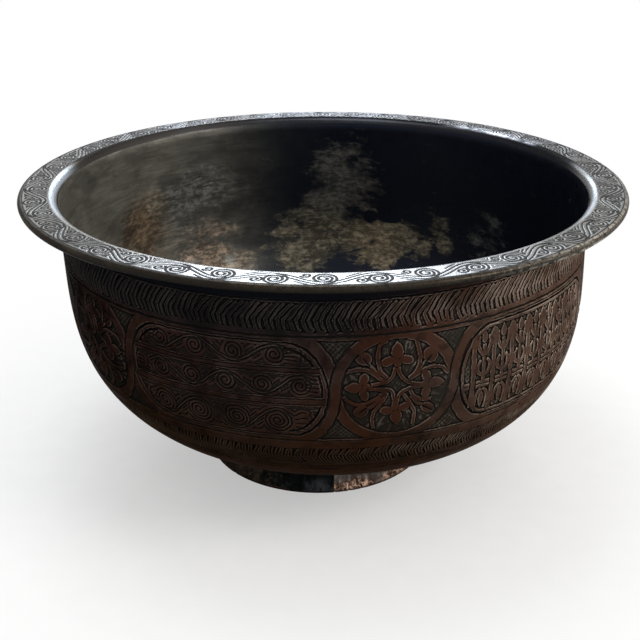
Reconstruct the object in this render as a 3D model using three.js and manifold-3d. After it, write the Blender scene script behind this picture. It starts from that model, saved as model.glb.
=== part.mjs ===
import * as THREE from "three";
import Module from "manifold-3d";
import { mergeVertices } from "three/addons/utils/BufferGeometryUtils.js";

// Footed copper bowl, in millimetres, +Z up.
// The origin is under the middle of the rim, on the surface that the foot stands on.
// The bowl and its flange are one raised sheet, rolled at the edge over an iron wire.
// A strip bent into a ring makes the foot, and soft solder holds it under the bowl.

// Bowl
const wallRadius = 166.7;
const bowlDepth = 167.2;
const shoulderDepth = 44.3;
const bellyFullness = 2.9;
const sheet = 1.2;

// The bowl leans a little to one side of its rim, from this depth down
const leanStart = 18;
const leanPerDepth = 0.031;

// Flange and rolled edge
const flangeWidth = 23.3;
const lipRadius = 7;
const wireRadius = 1;
const wireGap = 0.3;
const wireButtGap = 0.8;

// Chased bands, as widths measured down the wall from the top of the flange
const neckWidth = 17.2;
const braidWidth = 17.4;
const ruleWidth = 4.4;
const ruleGroove = 1.2;
const friezeWidth = 64.6;
const lowerRuleWidth = 6;
const lowerBraidWidth = 15;
const footRuleWidth = 7;
const chaseDepth = 0.5;
const chaseBevel = 0.4;

// Foot ring, which sits a little off the middle of the bowl
const footRadius = 75.5;
const footRise = 22.8;
const footSheet = 1.6;
const footFlare = 4.5;
const footOffset = -3.4;

// The ends of the foot's strip are thinned and lapped, near the front
const lapAngle = THREE.MathUtils.degToRad(7.8);
const lapLength = 12;
const lapGap = 0.3;
const lapStep = 0.2;

// Solder between the foot and the bowl, with a fillet on both sides
const seatGap = 0.3;
const solderFilm = 0.4;
const filletLeg = 3.2;
const filletToe = 0.5;

// Fineness of the round shapes
const turns = 72;
const arcStep = THREE.MathUtils.degToRad(36);
const friezeStep = 12;
const floorStep = 21;
const flareShares = [0, 0.2, 0.45, 1];
const measureSteps = 1200;
const settlePasses = 4;
const weldDistance = 0.0001;

// How far from its middle the bowl's underside is followed when it trims the foot and solder
const trimReach = footRadius * 1.6;

const topZ = footRise + bowlDepth;
const rimRadius = wallRadius + flangeWidth;
const rollRadius = wireRadius + wireGap + sheet;
const rollCentre = new THREE.Vector2(rimRadius - rollRadius, topZ - rollRadius);
const footWaist = footRadius - footFlare;

const patinatedCopper = { color: 0x3a2a22, roughness: 0.55, metalness: 0.8 };
const footCopper = { color: 0x4f3b30, roughness: 0.5, metalness: 0.85 };
const ironWire = { color: 0x4b4a48, roughness: 0.6, metalness: 0.9 };
const softSolder = { color: 0x77746c, roughness: 0.5, metalness: 0.8 };

const wasm = await Module();
wasm.setup();

// The side of the bowl in section: an upright wall, then a full round belly to the middle
class BowlSide extends THREE.Curve {
  getPoint(t, target = new THREE.Vector2()) {
    const uprightShare = 0.2;
    if (t < uprightShare) {
      return target.set(wallRadius, topZ - (shoulderDepth * t) / uprightShare);
    }
    const swing = ((t - uprightShare) / (1 - uprightShare)) * (Math.PI / 2);
    const power = 2 / bellyFullness;
    const across = t < 1 ? wallRadius * Math.cos(swing) ** power : 0;
    const down = (bowlDepth - shoulderDepth) * Math.sin(swing) ** power;
    return target.set(across, topZ - shoulderDepth - down);
  }
}

const bowlSide = new BowlSide();
bowlSide.arcLengthDivisions = measureSteps;
const sideLength = bowlSide.getLength();

// A point at a distance down the wall, moved outwards by rise
function sidePoint(distance, rise) {
  const share = Math.min(distance / sideLength, 1);
  const point = bowlSide.getPointAt(share);
  if (share === 1) {
    return point.set(0, point.y - rise);
  }
  const along = bowlSide.getTangentAt(share);
  return point.add(new THREE.Vector2(-along.y, along.x).multiplyScalar(rise));
}

function wallRun(from, to, rise, spacing) {
  const steps = Math.max(1, Math.round((to - from) / spacing));
  const points = [];
  for (let i = 0; i <= steps; i += 1) {
    points.push(sidePoint(from + ((to - from) * i) / steps, rise));
  }
  return points;
}

function arcPoints(centre, radius, from, to) {
  const steps = Math.max(2, Math.ceil(Math.abs(to - from) / arcStep));
  const points = [];
  for (let i = 0; i <= steps; i += 1) {
    const angle = from + ((to - from) * i) / steps;
    const reach = new THREE.Vector2(Math.cos(angle), Math.sin(angle)).multiplyScalar(radius);
    points.push(reach.add(centre));
  }
  return points;
}

// Sideways shift of the bowl at a height, and a turned shape that follows it
function leanAt(z) {
  return leanPerDepth * Math.max(0, topZ - leanStart - z);
}

function turnedAndLeaned(profile) {
  const geometry = new THREE.LatheGeometry(profile, turns).rotateX(Math.PI / 2);
  const position = geometry.attributes.position;
  for (let i = 0; i < position.count; i += 1) {
    position.setX(i, position.getX(i) + leanAt(position.getZ(i)));
  }
  return geometry;
}

function solidOf(geometry) {
  const bare = new THREE.BufferGeometry();
  bare.setAttribute("position", geometry.attributes.position);
  bare.setIndex(geometry.index);
  const merged = mergeVertices(bare, weldDistance);
  return new wasm.Manifold(
    new wasm.Mesh({
      numProp: 3,
      vertProperties: new Float32Array(merged.attributes.position.array),
      triVerts: new Uint32Array(merged.index.array),
    }),
  );
}

function geometryOf(solid) {
  const mesh = solid.getMesh();
  const geometry = new THREE.BufferGeometry();
  geometry.setAttribute("position", new THREE.BufferAttribute(mesh.vertProperties, 3));
  geometry.setIndex(new THREE.BufferAttribute(mesh.triVerts, 1));
  geometry.computeVertexNormals();
  return geometry;
}

// Joins sections that stand around an upright axis, each at its own angle from the front
function bentThrough(sections, centreX, isRing) {
  const size = sections[0].points.length;
  const vertices = [];
  for (const { angle, points } of sections) {
    for (const point of points) {
      vertices.push(centreX + point.x * Math.sin(angle), -point.x * Math.cos(angle), point.y);
    }
  }
  const faces = [];
  const spans = isRing ? sections.length : sections.length - 1;
  for (let i = 0; i < spans; i += 1) {
    const here = i * size;
    const next = ((i + 1) % sections.length) * size;
    for (let j = 0; j < size; j += 1) {
      const k = (j + 1) % size;
      faces.push(here + j, next + j, next + k, here + j, next + k, here + k);
    }
  }
  if (!isRing) {
    const last = (sections.length - 1) * size;
    for (const [a, b, c] of THREE.ShapeUtils.triangulateShape(sections[0].points, [])) {
      faces.push(a, b, c);
      faces.push(last + a, last + c, last + b);
    }
  }
  const geometry = new THREE.BufferGeometry();
  geometry.setAttribute("position", new THREE.Float32BufferAttribute(vertices, 3));
  geometry.setIndex(faces);
  return geometry;
}

function named(name, geometry, finish) {
  const mesh = new THREE.Mesh(geometry, new THREE.MeshStandardMaterial(finish));
  mesh.name = name;
  return mesh;
}

// Outside of the wall: plain neck, sunk braid, grooved rule, sunk frieze, rule,
// sunk braid, rule, and the plain belly down to the middle
function outsideOfWall() {
  const braidTop = neckWidth;
  const ruleTop = braidTop + braidWidth;
  const grooveTop = ruleTop + (ruleWidth - ruleGroove) / 2;
  const friezeTop = ruleTop + ruleWidth;
  const lowerRuleTop = friezeTop + friezeWidth;
  const lowerBraidTop = lowerRuleTop + lowerRuleWidth;
  const footRuleTop = lowerBraidTop + lowerBraidWidth;
  const footRuleEnd = footRuleTop + footRuleWidth;
  const sunk = -chaseDepth;
  return [
    sidePoint(braidTop, 0),
    ...wallRun(braidTop + chaseBevel, ruleTop - chaseBevel, sunk, braidWidth),
    sidePoint(ruleTop, 0),
    sidePoint(grooveTop, 0),
    sidePoint(grooveTop + ruleGroove / 2, sunk),
    sidePoint(grooveTop + ruleGroove, 0),
    sidePoint(friezeTop, 0),
    ...wallRun(friezeTop + chaseBevel, lowerRuleTop - chaseBevel, sunk, friezeStep),
    ...wallRun(lowerRuleTop, lowerBraidTop, 0, lowerRuleWidth),
    ...wallRun(lowerBraidTop + chaseBevel, footRuleTop - chaseBevel, sunk, friezeStep),
    ...wallRun(footRuleTop, footRuleEnd, 0, footRuleWidth),
    ...wallRun(footRuleEnd, sideLength, 0, floorStep).slice(1),
  ];
}

// Bowl: one closed section, up the outside, out round the roll and back down the inside
function bowlSection() {
  const lipCentre = new THREE.Vector2(wallRadius - sheet + lipRadius, topZ - lipRadius);
  const rollEnd = -Math.PI - Math.asin(wireRadius / rollRadius);
  return [
    ...outsideOfWall().reverse(),
    ...arcPoints(lipCentre, lipRadius - sheet, Math.PI, Math.PI / 2),
    ...arcPoints(rollCentre, rollRadius - sheet, Math.PI / 2, rollEnd),
    ...arcPoints(rollCentre, rollRadius, rollEnd, 0),
    ...arcPoints(rollCentre, rollRadius, 0, Math.PI / 2).slice(1),
    ...arcPoints(lipCentre, lipRadius, Math.PI / 2, Math.PI),
    ...wallRun(shoulderDepth, sideLength, -sheet, floorStep),
  ];
}

// Wire in the rolled edge, its two ends almost meeting at the back
function rimWire() {
  const halfButt = wireButtGap / 2 / rollCentre.x;
  const points = arcPoints(rollCentre, wireRadius, 0, Math.PI * 2).slice(1);
  const sections = [];
  for (let i = 0; i <= turns; i += 1) {
    const round = (Math.PI * 2 * i) / turns;
    const angle = Math.PI + THREE.MathUtils.clamp(round, halfButt, Math.PI * 2 - halfButt);
    sections.push({ angle, points });
  }
  return bentThrough(sections, 0, false);
}

// The bowl's outer form, grown by a gap, which trims whatever seats against its underside
function bowlFormGrown(gap) {
  const underside = wallRun(sideLength - trimReach, sideLength, gap, floorStep).reverse();
  const edge = underside.at(-1);
  const profile = [...underside, new THREE.Vector2(edge.x, topZ), new THREE.Vector2(0, topZ)];
  return solidOf(turnedAndLeaned(profile));
}

// Height of the bowl's underside over a place on the plan
function undersideAt(x, y) {
  let z = footRise;
  for (let i = 0; i < settlePasses; i += 1) {
    const across = Math.min(Math.hypot(x - leanAt(z), y) / wallRadius, 1);
    const down = (1 - across ** bellyFullness) ** (1 / bellyFullness);
    z = topZ - shoulderDepth - (bowlDepth - shoulderDepth) * down;
  }
  return z;
}

// Section of the foot's strip between two insets, one from its outside and one from its inside
function footSection(insetOutside, insetInside) {
  const heights = flareShares.map((share) => share * footRise);
  heights.push(footRise + footFlare + filletLeg);
  const faceAt = (height) => {
    const share = Math.min(height / footRise, 1);
    return footWaist + footFlare * (1 - share) ** 2;
  };
  const outside = heights.map((z) => new THREE.Vector2(faceAt(z) - insetOutside, z));
  const inside = heights.map((z) => new THREE.Vector2(faceAt(z) - footSheet + insetInside, z));
  return [...outside, ...inside.reverse()];
}

// Foot: the strip runs once round, thinned from outside at its start and from inside at its end,
// and the two thin ends lie over each other without thickening the ring
function footStrip() {
  const thinned = (footSheet + lapGap) / 2;
  const tongueUnder = footSection(thinned, 0);
  const tongueOver = footSection(0, thinned);
  const full = footSection(0, 0);
  const lap = lapLength / footRadius;
  const gap = lapGap / footRadius;
  const step = lapStep / footRadius;
  const lastFull = lapAngle - lap - gap - step + Math.PI * 2;
  const sections = [
    { angle: lapAngle - lap, points: tongueUnder },
    { angle: lapAngle, points: tongueUnder },
  ];
  for (let i = 0; i <= turns; i += 1) {
    const angle = THREE.MathUtils.lerp(lapAngle + step, lastFull, i / turns);
    sections.push({ angle, points: full });
  }
  sections.push({ angle: lastFull + step, points: tongueOver });
  sections.push({ angle: lapAngle - gap + Math.PI * 2, points: tongueOver });
  return solidOf(bentThrough(sections, footOffset, false));
}

// Solder: a saddle round the top of the foot, shaped by the bowl above it and the foot below
function footSolder() {
  const faceOut = footWaist;
  const faceIn = footWaist - footSheet;
  const toeOut = faceOut + filletLeg;
  const toeIn = faceIn - filletLeg;
  const sections = [];
  const footSections = [];
  for (let i = 0; i < turns; i += 1) {
    const angle = (Math.PI * 2 * i) / turns;
    const level = (radius) =>
      undersideAt(footOffset + radius * Math.sin(angle), -radius * Math.cos(angle));
    const points = [
      [faceOut + filletToe, level(faceOut) - filletLeg],
      [toeOut, level(toeOut) - seatGap - filletToe],
      [toeOut, level(toeOut) + filletLeg],
      [toeIn, level(toeIn) + filletLeg],
      [toeIn, level(toeIn) - seatGap - filletToe],
      [faceIn - filletToe, level(faceIn) - filletLeg],
    ];
    sections.push({ angle, points: points.map(([r, z]) => new THREE.Vector2(r, z)) });
    footSections.push({ angle, points: footSection(-seatGap, -seatGap) });
  }
  const blank = solidOf(bentThrough(sections, footOffset, true));
  const footRoom = solidOf(bentThrough(footSections, footOffset, true));
  const filmUnder = bowlFormGrown(seatGap + solderFilm);
  return blank.subtract(bowlFormGrown(seatGap)).subtract(footRoom.subtract(filmUnder));
}

const footTrim = bowlFormGrown(seatGap + solderFilm + seatGap);

export default new THREE.Group().add(
  named("bowl_body", turnedAndLeaned(bowlSection()), patinatedCopper),
  named("rim_wire", rimWire(), ironWire),
  named("foot_ring", geometryOf(footStrip().subtract(footTrim)), footCopper),
  named("foot_solder", geometryOf(footSolder()), softSolder),
);
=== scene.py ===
import math

import bpy
import numpy as np
from mathutils import Matrix, Vector


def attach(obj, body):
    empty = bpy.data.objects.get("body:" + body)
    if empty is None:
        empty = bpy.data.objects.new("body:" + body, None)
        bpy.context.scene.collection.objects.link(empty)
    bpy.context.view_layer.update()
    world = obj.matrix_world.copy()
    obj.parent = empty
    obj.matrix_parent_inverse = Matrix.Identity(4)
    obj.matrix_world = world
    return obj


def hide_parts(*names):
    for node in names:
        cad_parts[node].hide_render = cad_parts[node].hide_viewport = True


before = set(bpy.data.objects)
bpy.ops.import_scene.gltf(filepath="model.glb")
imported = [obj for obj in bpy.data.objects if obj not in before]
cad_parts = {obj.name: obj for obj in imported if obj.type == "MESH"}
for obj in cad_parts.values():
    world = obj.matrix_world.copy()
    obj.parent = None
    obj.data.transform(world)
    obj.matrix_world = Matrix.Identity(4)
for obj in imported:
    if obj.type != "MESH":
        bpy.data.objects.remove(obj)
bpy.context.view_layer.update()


# The place the bowl is looked at from, and the studio round it
# A pale floor that the bowl stands on, white surroundings, a soft lamp at the right, one overhead,
# and a long one behind that lies in the flange as the sky does.
def put_in(name, data):
    thing = bpy.data.objects.new(name, data)
    bpy.context.scene.collection.objects.link(thing)
    return thing


def viewpoint():
    turn_down, tilt = math.radians(23.578), math.radians(-0.1724)
    looked_at, away = Vector((-0.002081, 0.0, 0.089738)), 0.72249
    back = Vector((0, -math.cos(turn_down), math.sin(turn_down)))
    level = Vector((1, 0, 0))
    up = Vector((0, math.sin(turn_down), math.cos(turn_down)))
    right = math.cos(tilt) * level + math.sin(tilt) * up
    top = math.cos(tilt) * up - math.sin(tilt) * level
    lens = bpy.data.cameras.new("viewpoint")
    lens.sensor_width = 36
    lens.lens = 59.947
    lens.clip_end = 50
    place = Matrix((right, top, back)).transposed().to_4x4()
    place.translation = looked_at + away * back
    camera = put_in("viewpoint", lens)
    camera.matrix_world = place
    bpy.context.scene.camera = camera


def soft_lamp(name, place, aim, wide, high, watts, colour):
    light = bpy.data.lights.new(name, "AREA")
    light.shape = "RECTANGLE"
    light.size, light.size_y = wide, high
    light.energy, light.color = watts, colour
    lamp = put_in(name, light)
    lamp.location = place
    lamp.rotation_mode = "QUATERNION"
    lamp.rotation_quaternion = (Vector(place) - Vector(aim)).to_track_quat("Z", "Y")
    lamp.visible_camera = False


def add(tree, kind, inputs=None, **settings):
    """Puts one node into a tree. Inputs go by name or number, and hold a value or another node's output."""
    node = tree.nodes.new(kind)
    for name, value in settings.items():
        setattr(node, name, value)
    for key, value in (inputs or {}).items():
        socket = node.inputs[key]
        if isinstance(value, (Signal, bpy.types.NodeSocket)):
            tree.links.new(getattr(value, "socket", value), socket)
        else:
            socket.default_value = (*value, 1) if socket.type == "RGBA" else value
    return node


class Signal:
    """What a node gives out. Signals add and multiply as numbers do, each step with a node of its own."""

    def __init__(self, tree, socket):
        self.tree, self.socket = tree, socket

    def node(self, kind, inputs, output=0, **settings):
        return Signal(self.tree, add(self.tree, kind, inputs, **settings).outputs[output])

    def math(self, operation, *others, clamp=False):
        inputs = dict(enumerate((self, *others)))
        return self.node("ShaderNodeMath", inputs, operation=operation, use_clamp=clamp)

    def __add__(self, other):
        return self.math("ADD", other)

    def __sub__(self, other):
        return self.math("SUBTRACT", other)

    def __rsub__(self, number):
        return self.node("ShaderNodeMath", {0: number, 1: self}, operation="SUBTRACT")

    def __mul__(self, other):
        return self.math("MULTIPLY", other)

    def __truediv__(self, other):
        return self.math("DIVIDE", other)

    def __rtruediv__(self, number):
        return self.node("ShaderNodeMath", {0: number, 1: self}, operation="DIVIDE")

    def vector(self, operation, *others):
        inputs = dict(enumerate((self, *others)))
        output = 1 if operation in ("LENGTH", "DISTANCE") else 0
        return self.node("ShaderNodeVectorMath", inputs, output, operation=operation)

    def parts(self):
        outputs = add(self.tree, "ShaderNodeSeparateXYZ", {0: self}).outputs
        return [Signal(self.tree, output) for output in outputs]

    def ramp(self, low, high, to_low=0.0, to_high=1.0, kind="SMOOTHSTEP"):
        limits = {"From Min": low, "From Max": high, "To Min": to_low, "To Max": to_high}
        return self.node("ShaderNodeMapRange", {"Value": self, **limits}, interpolation_type=kind)

    def grain(self, scale, detail=4.0, rough=0.5, warp=0.0):
        return self.node("ShaderNodeTexNoise", {"Vector": self, "Scale": scale, "Detail": detail,
                                                "Roughness": rough, "Distortion": warp})


def mix(share, one, other):
    """A colour between two."""
    return share.node("ShaderNodeMix", {0: share, 6: one, 7: other}, 2, data_type="RGBA")


def cleared(holder):
    """The empty node tree of a material or of the surroundings."""
    holder.use_nodes = True
    holder.node_tree.nodes.clear()
    return holder.node_tree


def rays(tree, *kinds):
    path = add(tree, "ShaderNodeLightPath").outputs
    return [Signal(tree, path[f"Is {kind} Ray"]) for kind in kinds]


def studio():
    reach = 9.0
    floor_mesh = bpy.data.meshes.new("floor")
    floor_mesh.from_pydata([(-reach, -reach, 0), (reach, -reach, 0), (reach, reach, 0), (-reach, reach, 0)],
                           [], [(0, 1, 2, 3)])
    floor = put_in("floor", floor_mesh)
    finish = bpy.data.materials.new("pale floor")
    tree = cleared(finish)
    where = Signal(tree, add(tree, "ShaderNodeTexCoord").outputs["Object"])
    speckled = mix(where.grain(60, 3).ramp(0.3, 0.7), (0.86, 0.86, 0.855), (0.89, 0.89, 0.885))
    plain = add(tree, "ShaderNodeBsdfDiffuse", {"Color": speckled})
    glow = add(tree, "ShaderNodeEmission", {"Color": (1, 1, 1), "Strength": 1.0})
    far = where.vector("LENGTH").ramp(0.09, 0.42, 0.42, 1.0)
    share = rays(tree, "Camera")[0] * far
    mixed = add(tree, "ShaderNodeMixShader", {0: share, 1: plain.outputs[0], 2: glow.outputs[0]})
    add(tree, "ShaderNodeOutputMaterial", {"Surface": mixed.outputs[0]})
    floor_mesh.materials.append(finish)

    world = bpy.data.worlds.new("white surroundings")
    bpy.context.scene.world = world
    tree = cleared(world)
    camera_ray, glossy_ray, through_ray = rays(tree, "Camera", "Glossy", "Transmission")
    seen = camera_ray.math("MAXIMUM", glossy_ray.math("MAXIMUM", through_ray))
    strength = seen.ramp(0.0, 1.0, 0.68, 1.0, "LINEAR")
    sky = add(tree, "ShaderNodeBackground", {"Color": (1, 1, 1), "Strength": strength})
    add(tree, "ShaderNodeOutputWorld", {"Surface": sky.outputs[0]})

    bowl_middle = (0, 0, 0.1)
    soft_lamp("lamp right", (1.6, -0.7, 1.25), bowl_middle, 0.8, 0.8, 20, (1.0, 0.97, 0.93))
    soft_lamp("lamp overhead", (-0.3, 0.3, 2.2), bowl_middle, 0.9, 0.9, 16, (0.96, 0.98, 1.0))
    soft_lamp("lamp behind", (-0.05, 2.1, 1.16), (0, -0.1, 0.19), 0.75, 0.5, 8, (0.90, 0.96, 1.0))


viewpoint()
studio()
bpy.context.scene.view_settings.view_transform = "Standard"


# Bowl wall, one sheet of copper raised to an upright wall and a full round belly
# Bands are chased into its outside with punches and a liner: a braid, a deep frieze of roundels and long
# cartouches held by interlaced straps, and a second braid. Ten lengths of wall meet edge to edge.
wall_radius = 0.1667
bowl_depth = 0.1672
foot_rise = 0.0228
shoulder_depth = 0.0443
belly_fullness = 2.9
sheet = 0.0012
flange_width = 0.0233
lip_radius = 0.007
roll_radius = 0.0025
roll_gap = 0.0003
wire_room = 0.0013
lean_start = 0.018
lean_per_depth = 0.031
top_z = foot_rise + bowl_depth
rim_radius = wall_radius + flange_width


def arc(centre_r, centre_z, radius, start, end, steps):
    turn = np.radians(np.linspace(start, end, steps + 1))
    return np.column_stack([centre_r + radius * np.cos(turn), centre_z + radius * np.sin(turn)])


def bowl_section():
    """The sheet cut through: from the middle up the outside, round the rolled edge, and down the inside."""
    swing = np.linspace(math.pi / 2, 0, 700)
    power = 2 / belly_fullness
    across = wall_radius * np.maximum(np.cos(swing), 0) ** power
    across[0] = 0
    drop = (bowl_depth - shoulder_depth) * np.sin(swing) ** power
    outside = np.column_stack([across, top_z - shoulder_depth - drop])
    along = np.gradient(outside, axis=0)
    along /= np.linalg.norm(along, axis=1)[:, None]
    inside = outside - sheet * np.column_stack([along[:, 1], -along[:, 0]])
    inside[0, 0] = 0
    lip_z = top_z - lip_radius
    lip_r = wall_radius - sheet + lip_radius
    roll_r = rim_radius - roll_radius
    roll_z = top_z - roll_radius
    roll_end = -180 - math.degrees(math.asin((roll_radius - sheet - roll_gap) / roll_radius))
    parts = [("outside", outside),
             ("neck", arc(lip_r, lip_z, lip_radius - sheet, 180, 90, 24)),
             ("under_flange", arc(roll_r, roll_z, wire_room, 90, roll_end, 40)),
             ("roll", arc(roll_r, roll_z, roll_radius, roll_end, 90, 60)),
             ("lip", arc(lip_r, lip_z, lip_radius, 90, 180, 30)),
             ("inside", inside[::-1])]
    starts, points, count = {}, [], 0
    for name, run in parts:
        starts[name] = count
        points.append(run)
        count += len(run)
    points = np.concatenate(points)
    length = np.concatenate([[0], np.cumsum(np.linalg.norm(np.diff(points, axis=0), axis=1))])
    station = {name: float(length[start]) for name, start in starts.items()}
    station["upright"] = float(length[len(outside) - 1])
    station["end"] = float(length[-1])
    return points, station


def section_curve(name, points):
    curve = bpy.data.curves.new(name, "CURVE")
    curve.dimensions = "3D"
    spline = curve.splines.new("POLY")
    spline.points.add(len(points) - 1)
    for point, (r, z) in zip(spline.points, points):
        point.co = (r, 0, z, 1)
    holder = put_in(name, curve)
    holder.hide_render = True
    return holder


def new_tree(name, inputs):
    """A Geometry Nodes tree with named inputs, and a signal for each of them."""
    tree = bpy.data.node_groups.new(name, "GeometryNodeTree")
    for key, kind in inputs.items():
        tree.interface.new_socket(key, in_out="INPUT", socket_type="NodeSocket" + kind)
    tree.interface.new_socket("Made", in_out="OUTPUT", socket_type="NodeSocketGeometry")
    outputs = add(tree, "NodeGroupInput").outputs
    return tree, {key: Signal(tree, outputs[key]) for key in inputs}


def end_tree(made, finish):
    real = made.node("GeometryNodeRealizeInstances", {0: made})
    coloured = real.node("GeometryNodeSetMaterial", {"Geometry": real, "Material": finish})
    add(made.tree, "NodeGroupOutput", {0: coloured})
    return made.tree


def joined(tree, x, y=0.0, z=0.0):
    """A vector from its three parts."""
    return Signal(tree, add(tree, "ShaderNodeCombineXYZ", {0: x, 1: y, 2: z}).outputs[0])


def lines_beside_cuts(given, turn, from_cut, worked, side_x, side_y):
    """Fine lines that follow the cut ones, where a scroll fills a long cartouche."""
    share = (side_y.math("ABSOLUTE") / given["Scroll height"]).math("MINIMUM", 1.0)
    bend = 1.0 - (1.0 - share * share).math("SQRT")
    past = side_x.math("ABSOLUTE") - bend * given["Scroll swing"]
    in_scroll = past.math("GREATER_THAN", given["Scroll side"]) * share.math("LESS_THAN", 0.94)
    follow = (from_cut / given["Follow pitch"] * math.tau).math("COSINE").ramp(-0.85, 0.15)
    follow = follow * from_cut.ramp(0.0008, 0.0011) * in_scroll.math("MAXIMUM", given["Follow all"])
    follow = follow * from_cut.ramp(0.0075, 0.0055) * worked
    flange_reach = 0.178
    to_front = turn.math("COSINE") * -flange_reach
    return follow * to_front.ramp(given["Follow behind"], given["Follow behind"] + 0.015, 0.08)


def hatched_ground(given, flat, to_middle, side_x, side_y):
    """The ground's hatching: strokes that fan out inside a roundel, crossed ones elsewhere."""
    strokes = joined(flat.tree, side_y.math("ARCTAN2", side_x) * 15.0, to_middle * 150.0).grain(1.0, 1.0)
    fanned = strokes.ramp(0.40, 0.60, -1.0, 1.0)
    flat_x, flat_y, _ = flat.parts()
    turn_over_root_two = 4.443
    wave = turn_over_root_two / given["Hatch spacing"]
    one_way, other_way = (((flat_x + y) * wave).math("SINE") for y in (flat_y, flat_y * -1.0))
    crossed = one_way.math("MAXIMUM", other_way)
    in_roundel = to_middle.math("LESS_THAN", given["Middle reach"])
    hatch = flat.node("GeometryNodeSwitch", {0: in_roundel, 1: crossed, 2: fanned}, input_type="FLOAT")
    return hatch * 0.5 + 0.5


def place_on_sheet(given, turn, run, height):
    """Where a point ends on the sheet, with the lean of the bowl and the dents of the hammer."""
    tree = turn.tree
    cut_through = add(tree, "GeometryNodeObjectInfo", {0: given["Section"]}, transform_space="ORIGINAL")
    on = add(tree, "GeometryNodeSampleCurve", {"Curves": cut_through.outputs["Geometry"], "Length": run},
             mode="LENGTH", use_all_curves=True).outputs
    at_r, _, at_z = Signal(tree, on["Position"]).parts()
    way_r, _, way_z = Signal(tree, on["Tangent"]).parts()
    sine, cosine = turn.math("SINE"), turn.math("COSINE")
    out = joined(tree, way_z * sine, way_z * cosine * -1.0, way_r * -1.0).vector("NORMALIZE")
    shift = given["Axis X"] + given["Lean"] * (given["Lean from"] - at_z).math("MAXIMUM", 0.0)
    place = joined(tree, at_r * sine + shift, at_r * cosine * -1.0, at_z)
    dent, small = (place.node("ShaderNodeTexNoise", {"Vector": place, "W": given["Seed"], "Scale": scale,
                                                     "Detail": detail}, noise_dimensions="4D")
                   for scale, detail in ((22.0, 2.0), (110.0, 1.0)))
    sunk = (dent + small * 0.25) * given["Dent"]
    rise = add(tree, "ShaderNodeVectorMath", {0: out, "Scale": height - sunk}, operation="SCALE")
    return place.vector("ADD", rise.outputs[0])


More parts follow.
